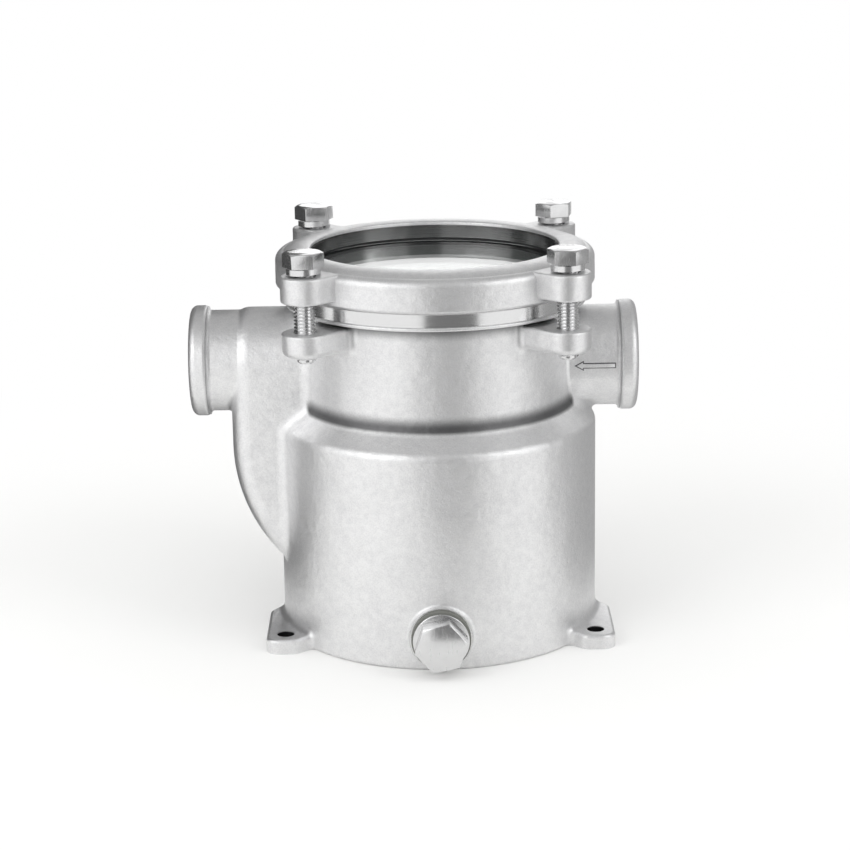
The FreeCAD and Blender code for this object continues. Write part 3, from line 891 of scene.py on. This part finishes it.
@dataclass(frozen=True)
class TurnedRing:
    """Ring round the upright axis that a closed outline gives.

    Attributes:
        name: Name of the piece.
        outline: Radius and height of each corner of its section.
        steps: Straight steps round the ring.
    """

    name: str
    outline: tuple[tuple[float, float], ...]
    steps: int = 144

    def build(self, finish: Material) -> None:
        """Turns the section round the axis.

        Args:
            finish: Material of the casting.
        """
        ring = polygon(self.name, [(radius, 0.0, height) for radius, height in self.outline])
        revolve(ring, self.steps)
        smooth(ring, 40.0)
        dress(ring, finish)
        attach(ring, "strainer")
        LOG.info("%s turned", self.name)


COVER_CROWN = TurnedRing("cover_crown", (
    (46.55, 143.6), (46.55, 146.0), (46.7, 146.35), (47.1, 146.6), (49.0, 146.8), (51.5, 146.75),
    (53.5, 146.4), (55.3, 145.8), (56.9, 144.9), (58.1, 143.8), (59.0, 142.4), (59.5, 140.8),
    (59.64, 139.2), (59.66, 134.1), (59.3, 133.9), (58.0, 136.0), (57.0, 141.0),
))
COLLAR_LIP = TurnedRing("collar_lip", (
    (55.0, 125.95), (55.7, 125.9), (56.35, 126.1), (56.6, 126.5), (56.55, 126.95), (56.2, 127.3),
    (55.4, 127.4),
))


@dataclass(frozen=True)
class FlowArrow:
    """Arrow cast on the front of the inlet port, raised inside a dark line of painted shade.

    It is drawn on an upright plane in front of the port, and laid on the casting from there.
    """

    tip: tuple[float, float] = (51.0, 103.6)
    shoulder: float = 54.5
    tail: float = 66.4
    head_half: float = 1.9
    shaft_half: float = 1.05
    line: float = 0.38
    away: float = 30.0
    arrow_thick: float = 0.6
    line_thick: float = 0.3

    def laid(self, name: str, inner: bool, body: Object) -> Object:
        """Cuts the arrow or its line from a flat sheet and lays it on the casting.

        Args:
            name: Name of the piece.
            inner: Whether the arrow is kept, and not the line round it.
            body: Casting that it lies on.

        Returns:
            Sheet on the casting's surface.
        """
        neck = self.shaft_half
        upper = [(self.shoulder, self.head_half), (self.shoulder, neck), (self.tail, neck)]
        lower = [(x, -rise) for x, rise in reversed(upper)]
        outline = [(self.tip[0], 0.0), *upper, *lower]
        sheet = polygon(name, [(x, -self.away, self.tip[1] + rise) for x, rise in outline], "NGON")
        bpy.ops.object.mode_set(mode="EDIT")
        bpy.ops.mesh.select_mode(type="FACE")
        bpy.ops.mesh.select_all(action="SELECT")
        bpy.ops.mesh.inset(thickness=self.line * MM)
        if inner:
            bpy.ops.mesh.select_all(action="INVERT")
        bpy.ops.mesh.delete(type="FACE")
        bpy.ops.mesh.select_all(action="SELECT")
        bpy.ops.mesh.quads_convert_to_tris()
        bpy.ops.mesh.subdivide(number_cuts=3)
        bpy.ops.mesh.normals_make_consistent(inside=False)
        mesh = bmesh.from_edit_mesh(sheet.data)
        mesh.faces.ensure_lookup_table()
        if mesh.faces[0].normal.y > 0.0:
            bpy.ops.mesh.flip_normals()
        bpy.ops.object.mode_set(mode="OBJECT")
        apply_modifier(sheet, "SHRINKWRAP", target=body, wrap_method="PROJECT", use_project_y=True,
                       use_positive_direction=True, use_negative_direction=False)
        return sheet

    def build(self, finish: Material, arrow_line_shade: Material) -> None:
        """Raises the arrow and the line round it from the casting.

        Args:
            finish: Material of the casting.
            arrow_line_shade: Material of the line round the arrow, painted shade along its raised edge.
        """
        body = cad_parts["body_casting"]
        arrow = self.laid("flow_arrow", True, body)
        apply_modifier(arrow, "SOLIDIFY", thickness=self.arrow_thick * MM, offset=0.35)
        soften(arrow, 0.12)
        dress(arrow, finish)
        line = self.laid("flow_arrow_line", False, body)
        apply_modifier(line, "SOLIDIFY", thickness=self.line_thick * MM, offset=-0.4)
        smooth(line)
        dress(line, arrow_line_shade)
        for piece in (arrow, line):
            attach(piece, "strainer")
        LOG.info("flow arrow built")


@dataclass(frozen=True)
class PortThread:
    """Pipe thread cut inside a port.

    Attributes:
        name: Name of the piece.
        face: X of the port's face.
        gap: Plain length between the face and the thread.
        form: Shape of the thread.
    """

    name: str
    face: float
    gap: float = 1.0
    form: ThreadForm = ThreadForm(crest=15.35, root=16.12, pitch=2.309, turns=7, steps=56)

    def build(self, finish: Material) -> None:
        """Cuts the thread's ridge and lays it in the port.

        Args:
            finish: Material of a cut thread.
        """
        ridge = self.form.build(self.name, 0.0)
        length = self.form.pitch * (self.form.turns + 1)
        start = self.face - self.gap - length if self.face > 0.0 else self.face + self.gap
        lie = Matrix.Rotation(math.radians(90.0), 4, "Y")
        ridge.matrix_world = Matrix.Translation(Vector((start, 0.0, PORT_HEIGHT)) * MM) @ lie
        settle(ridge)
        dress(ridge, finish)
        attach(ridge, "strainer")
        LOG.info("%s cut", self.name)


@dataclass(frozen=True)
class CoverBolt:
    """Hexagon bolt of the cover, threaded over its whole length."""

    number: int
    turn: float
    circle: float = 66.3
    first: float = 225.0
    seat: float = 148.4
    length: float = 35.0
    across_flats: float = 13.0
    head: float = 5.3
    thread: ThreadForm = ThreadForm(crest=3.98, root=3.3, pitch=1.25, turns=26, steps=28)

    def build(self, finish: Material) -> None:
        """Makes head, core and thread and joins them.

        Args:
            finish: Material of the bolt.
        """
        tip = self.seat - self.length
        name = f"threaded_bolt_{self.number}"
        core = shaft(name, self.thread.root + CORE_OVERLAP, tip, self.seat + CORE_SUNK, point=0.7)
        ridge = self.thread.build(f"{name}_ridge", tip + CORE_SUNK)
        head = HexagonHead(self.across_flats, self.head, self.turn).build(f"{name}_head", self.seat)
        bolt = joined(name, [core, ridge, head])
        angle = math.radians(self.first + 90.0 * (self.number - 1))
        bolt.location = Vector((self.circle * math.cos(angle), self.circle * math.sin(angle), 0.0)) * MM
        settle(bolt)
        dress(bolt, finish)
        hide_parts(f"lid_bolt_{self.number}")
        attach(bolt, f"bolt_{self.number}")
        LOG.info("%s built", name)


@dataclass(frozen=True)
class DrainPlug:
    """Hexagon plug with a flat collar and a short thread. The head is sunk a little into the collar."""

    seal: float = 1.5
    collar_radius: float = 10.3
    collar_thick: float = 1.6
    across_flats: float = 17.0
    head: float = 7.6
    turn: float = 12.0
    reach: float = 8.0
    sunk: float = 0.1
    thread: ThreadForm = ThreadForm(crest=8.3, root=7.5, pitch=1.337, turns=5, steps=40)

    def build(self, finish: Material) -> None:
        """Makes the plug upright and lays it in its boss.

        Args:
            finish: Material of the plug.
        """
        core = shaft("threaded_drain_plug", self.thread.root + CORE_OVERLAP, -self.reach,
                     self.seal + CORE_SUNK, point=0.8)
        ridge = self.thread.build("drain_plug_ridge", -self.reach + CORE_SUNK)
        collar = cylinder(96, self.collar_radius, self.seal, self.collar_thick)
        soften(collar, width=0.3, segments=3)
        head = HexagonHead(self.across_flats, self.head + self.sunk, self.turn).build(
            "drain_plug_head", self.seal + self.collar_thick - self.sunk)
        plug = joined("threaded_drain_plug", [core, ridge, collar, head])
        spot = Vector((0.0, DRAIN_FACE, DRAIN_HEIGHT)) * MM
        plug.matrix_world = Matrix.Translation(spot) @ Matrix.Rotation(math.radians(90.0), 4, "X")
        settle(plug)
        dress(plug, finish)
        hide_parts("drain_plug")
        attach(plug, "plug")
        LOG.info("drain plug built")


# Studio


def reflected_only(card: Object, tone: str) -> None:
    """Makes a card glow grey, for reflections alone, with no shadow.

    Args:
        card: Mesh of the card.
        tone: Grey of the card.
    """
    material = new_material(f"{card.name}_paper")
    tree = material.node_tree
    show(tree, add_node(tree, "ShaderNodeEmission", {"Color": linear(tone), "Strength": 1.0}))
    dress(card, material)
    for ray in ("camera", "diffuse", "transmission", "volume_scatter", "shadow"):
        setattr(card, f"visible_{ray}", False)


@dataclass(frozen=True)
class Card:
    """Grey card round the object that only shows in its reflections.

    Attributes:
        name: Name of the card.
        start: First edge in degrees, counted to the right from the camera.
        end: Last edge in degrees.
        tone: Grey of the card.
        radius: Distance from the object's axis in metres.
        top: Height of its upper edge in metres.
        foot: Radius down to which the card lies on along the floor, in metres.
        lift: Gap between the card and the floor in metres.
    """

    name: str
    start: float
    end: float
    tone: str
    radius: float = 0.24
    top: float = 0.34
    foot: float = 0.1
    lift: float = 0.0005

    def outside(self, middle: Vector, normal: Vector) -> bool:
        """Tells by a face's middle whether it lies past the card's edges."""
        azimuth = math.degrees(math.atan2(middle.x, -middle.y))
        while azimuth < self.start:
            azimuth += 360.0
        return azimuth > self.end

    def build(self) -> None:
        """Bends the card round the object."""
        deselect()
        bpy.ops.mesh.primitive_cylinder_add(vertices=90, radius=self.radius, depth=self.top,
                                            end_fill_type="NOTHING",
                                            location=(0.0, 0.0, self.top / 2.0 + self.lift))
        card = settle(active())
        card.name = self.name
        bpy.ops.object.mode_set(mode="EDIT")
        bpy.ops.mesh.select_mode(type="FACE")
        pick_faces(card, self.outside)
        bpy.ops.mesh.delete(type="FACE")
        bpy.ops.mesh.select_mode(type="EDGE")
        mesh = bmesh.from_edit_mesh(card.data)
        for edge in mesh.edges:
            edge.select_set(all(vertex.co.z < self.top / 2.0 for vertex in edge.verts))
        bmesh.update_edit_mesh(card.data)
        bpy.ops.mesh.extrude_edges_move()
        shrink = self.foot / self.radius
        bpy.ops.transform.resize(value=(shrink, shrink, 1.0), center_override=(0.0, 0.0, 0.0))
        bpy.ops.object.mode_set(mode="OBJECT")
        reflected_only(card, self.tone)


@dataclass(frozen=True)
class SoftBox:
    """Lamp that looks at the object.

    Attributes:
        name: Name of the lamp.
        place: Where it hangs, in metres.
        size: Width and height in metres.
        power: Power in watts.
        aim: Height on the object's axis that it looks at, in metres.
    """

    name: str
    place: tuple[float, float, float]
    size: tuple[float, float]
    power: float
    aim: float = 0.08

    def build(self) -> None:
        """Hangs the lamp."""
        data = bpy.data.lights.new(self.name, "AREA")
        data.shape = "RECTANGLE"
        data.size, data.size_y = self.size
        data.energy = self.power
        lamp = bpy.data.objects.new(self.name, data)
        bpy.context.scene.collection.objects.link(lamp)
        lamp.location = self.place
        sight = Vector((0.0, 0.0, self.aim)) - Vector(self.place)
        lamp.rotation_euler = sight.to_track_quat("-Z", "Y").to_euler()


@dataclass(frozen=True)
class Studio:
    """White floor, white surround, soft lamps and grey cards, in metres and watts.

    The surround looks whiter than it lights, and the pane mirrors the rear strip.
    """

    floor_tone: str = "#F7F7F6"
    surround: float = 1.0
    fill: float = 0.92
    sweep: tuple[float, float] = (0.17, 0.42)
    ceiling: tuple[float, float] = (0.5, 0.42)
    ceiling_tone: str = "#A4A4A4"
    cards: tuple[Card, ...] = (
        Card("front_card", -7.0, 27.0, "#7C7C7C", foot=0.17),
        Card("right_card", 74.0, 150.0, "#A0A0A0"),
        Card("left_card", 195.0, 275.0, "#4A4A4A"),
    )
    lamps: tuple[SoftBox, ...] = (
        SoftBox("left_soft_box", (-1.0, -0.9, 0.9), (0.9, 0.9), 3.4),
        SoftBox("right_soft_box", (1.1, -0.7, 0.9), (0.6, 0.9), 2.5),
        SoftBox("top_soft_box", (0.0, 0.2, 1.5), (1.2, 1.2), 1.6),
        SoftBox("rear_strip", (0.0, 1.7, 0.47), (0.9, 0.3), 0.76),
    )

    @staticmethod
    def seen(tree: NodeTree) -> NodeSocket:
        """Finds the rays that show a surface, and not those that only light by it.

        Args:
            tree: Tree of the world or of a material.

        Returns:
            Socket that is 1 for camera, mirror and glass rays.
        """
        ray = add_node(tree, "ShaderNodeLightPath").outputs
        direct = compute(tree, "MAXIMUM", ray["Is Camera Ray"], ray["Is Glossy Ray"])
        return compute(tree, "MAXIMUM", direct, ray["Is Transmission Ray"])

    def hang_surround(self) -> None:
        """Gives the surround, white wherever it is seen and softer where it lights."""
        world = bpy.data.worlds.new("studio_surround")
        bpy.context.scene.world = world
        world.use_nodes = True
        tree = world.node_tree
        tree.nodes.clear()
        strength = mapped(tree, self.seen(tree), (0.0, 1.0), (self.fill, self.surround))
        sky = add_node(tree, "ShaderNodeBackground", {"Color": WHITE, "Strength": strength})
        add_node(tree, "ShaderNodeOutputWorld", {"Surface": sky.outputs[0]})

    def lay_floor(self) -> None:
        """Lays the floor, paper near the object and plain white beyond."""
        deselect()
        bpy.ops.mesh.primitive_plane_add(size=8.0, location=(0.0, 0.0, 0.0))
        floor = settle(active())
        floor.name = "studio_floor"
        bpy.ops.object.mode_set(mode="EDIT")
        bpy.ops.mesh.select_all(action="SELECT")
        bpy.ops.mesh.subdivide(number_cuts=8)
        bpy.ops.object.mode_set(mode="OBJECT")
        material = new_material("matt_white_paper")
        tree = material.node_tree
        paper = add_node(tree, "ShaderNodeBsdfDiffuse", {"Color": linear(self.floor_tone), "Roughness": 0.6})
        white = add_node(tree, "ShaderNodeEmission", {"Color": WHITE, "Strength": self.surround})
        place = add_node(tree, "ShaderNodeTexCoord").outputs["Object"]
        beyond = mapped(tree, distance(tree, place), self.sweep, interpolation_type="SMOOTHSTEP")
        share = compute(tree, "MULTIPLY", beyond, self.seen(tree))
        show(tree, add_node(tree, "ShaderNodeMixShader",
                            {0: share, 1: paper.outputs[0], 2: white.outputs[0]}))
        dress(floor, material)

    def hang_ceiling(self) -> None:
        """Hangs the grey ceiling card."""
        height, radius = self.ceiling
        deselect()
        bpy.ops.mesh.primitive_circle_add(vertices=64, radius=radius, fill_type="NGON",
                                          location=(0.0, 0.0, height))
        card = settle(active())
        card.name = "ceiling_card"
        reflected_only(card, self.ceiling_tone)

    def build(self) -> None:
        """Sets up the whole studio."""
        self.hang_surround()
        self.lay_floor()
        for piece in (*self.lamps, *self.cards):
            piece.build()
        self.hang_ceiling()
        LOG.info("studio set")


@dataclass(frozen=True)
class PhotoCamera:
    """Camera where the photograph was taken from.

    Attributes:
        target: Point that the sight line passes, in millimetres.
        distance: Distance from that point in millimetres.
        elevation: Angle above the horizon in degrees.
        azimuth: Angle round the object in degrees.
        roll: Tilt of the frame in degrees.
        focal: Focal length in pixels of the frame.
        centre: Where the sight line meets the frame, in pixels.
        frame_width: Width of the square frame in pixels.
        sensor: Width of the sensor in millimetres.
    """

    target: tuple[float, float, float] = (0.0, 0.0, 76.0)
    distance: float = 920.4
    elevation: float = 15.334
    azimuth: float = 0.244
    roll: float = 0.857
    focal: float = 2417.0
    centre: tuple[float, float] = (437.38, 426.51)
    frame_width: float = 850.0
    sensor: float = 36.0

    def build(self) -> None:
        """Places the camera."""
        rise = math.radians(self.elevation)
        back = Vector((0.0, -math.cos(rise), math.sin(rise)))
        right = Vector((1.0, 0.0, 0.0))
        up = back.cross(right)
        tilt = math.radians(self.roll)
        across = right * math.cos(tilt) - up * math.sin(tilt)
        above = right * math.sin(tilt) + up * math.cos(tilt)
        turn = Matrix.Rotation(math.radians(-self.azimuth), 3, "Z")
        spot = turn @ (back * self.distance) + Vector(self.target)
        pose = Matrix((turn @ across, turn @ above, turn @ back)).transposed().to_4x4()
        data = bpy.data.cameras.new("photo_camera")
        data.sensor_width = self.sensor
        data.lens = self.focal / self.frame_width * self.sensor
        half = self.frame_width / 2.0
        data.shift_x = (half - self.centre[0]) / self.frame_width
        data.shift_y = (self.centre[1] - half) / self.frame_width
        data.clip_start = 0.01
        data.clip_end = 50.0
        camera = bpy.data.objects.new("photo_camera", data)
        bpy.context.scene.collection.objects.link(camera)
        camera.matrix_world = Matrix.Translation(spot * MM) @ pose
        bpy.context.scene.camera = camera
        LOG.info("camera set")


def main() -> None:
    """Dresses every solid, builds the added pieces and sets up the studio."""
    logging.basicConfig(level=logging.INFO, format="%(name)s: %(message)s")
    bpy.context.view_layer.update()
    fastener = PolishedStainless().build()
    cut_steel = PolishedStainless(name="stainless_cut_thread", roughness=(0.2, 0.34)).build()
    sheet = PolishedStainless("stainless_rolled_sheet", "#EFEFEF", "#E2E2E3", (0.26, 0.38)).build()
    rubber = MouldedElastomer("nitrile_rubber_moulded", "#1B1B1C", "#2A2A2B").build()
    fibre = MouldedElastomer("fibre_washer_pressed", "#6F706C", "#84857F", (0.6, 0.75)).build()
    cast, cover = Castings().dress()
    # Dark skin for the line round the flow arrow: painted shade along its raised edge.
    arrow_line_shade = CastStainless("painted_shade_arrow_line", "#7E7E80", "#6A6A6C").build()
    for finish, names in (
        (ToughenedGlass().build(), ("sight_glass",)),
        (rubber, ("glass_gasket", "seal_ring")),
        (fibre, ("drain_seal",)),
        (sheet, BASKET_SHEETS),
        (fastener, ("basket_bail", *(f"spring_washer_{number}" for number in range(1, 5)))),
    ):
        for name in names:
            dress(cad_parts[name], finish)
    COVER_CROWN.build(cover)
    COLLAR_LIP.build(cast)
    FlowArrow().build(cast, arrow_line_shade)
    PortThread("inlet_thread_ridge", INLET_FACE).build(cut_steel)
    PortThread("outlet_thread_ridge", OUTLET_FACE).build(cut_steel)
    for number, turn in enumerate(BOLT_TURNS, start=1):
        CoverBolt(number, turn).build(fastener)
    DrainPlug().build(fastener)
    Studio().build()
    PhotoCamera().build()
    bpy.context.scene.view_settings.view_transform = "Standard"


if __name__ == "__main__":
    main()
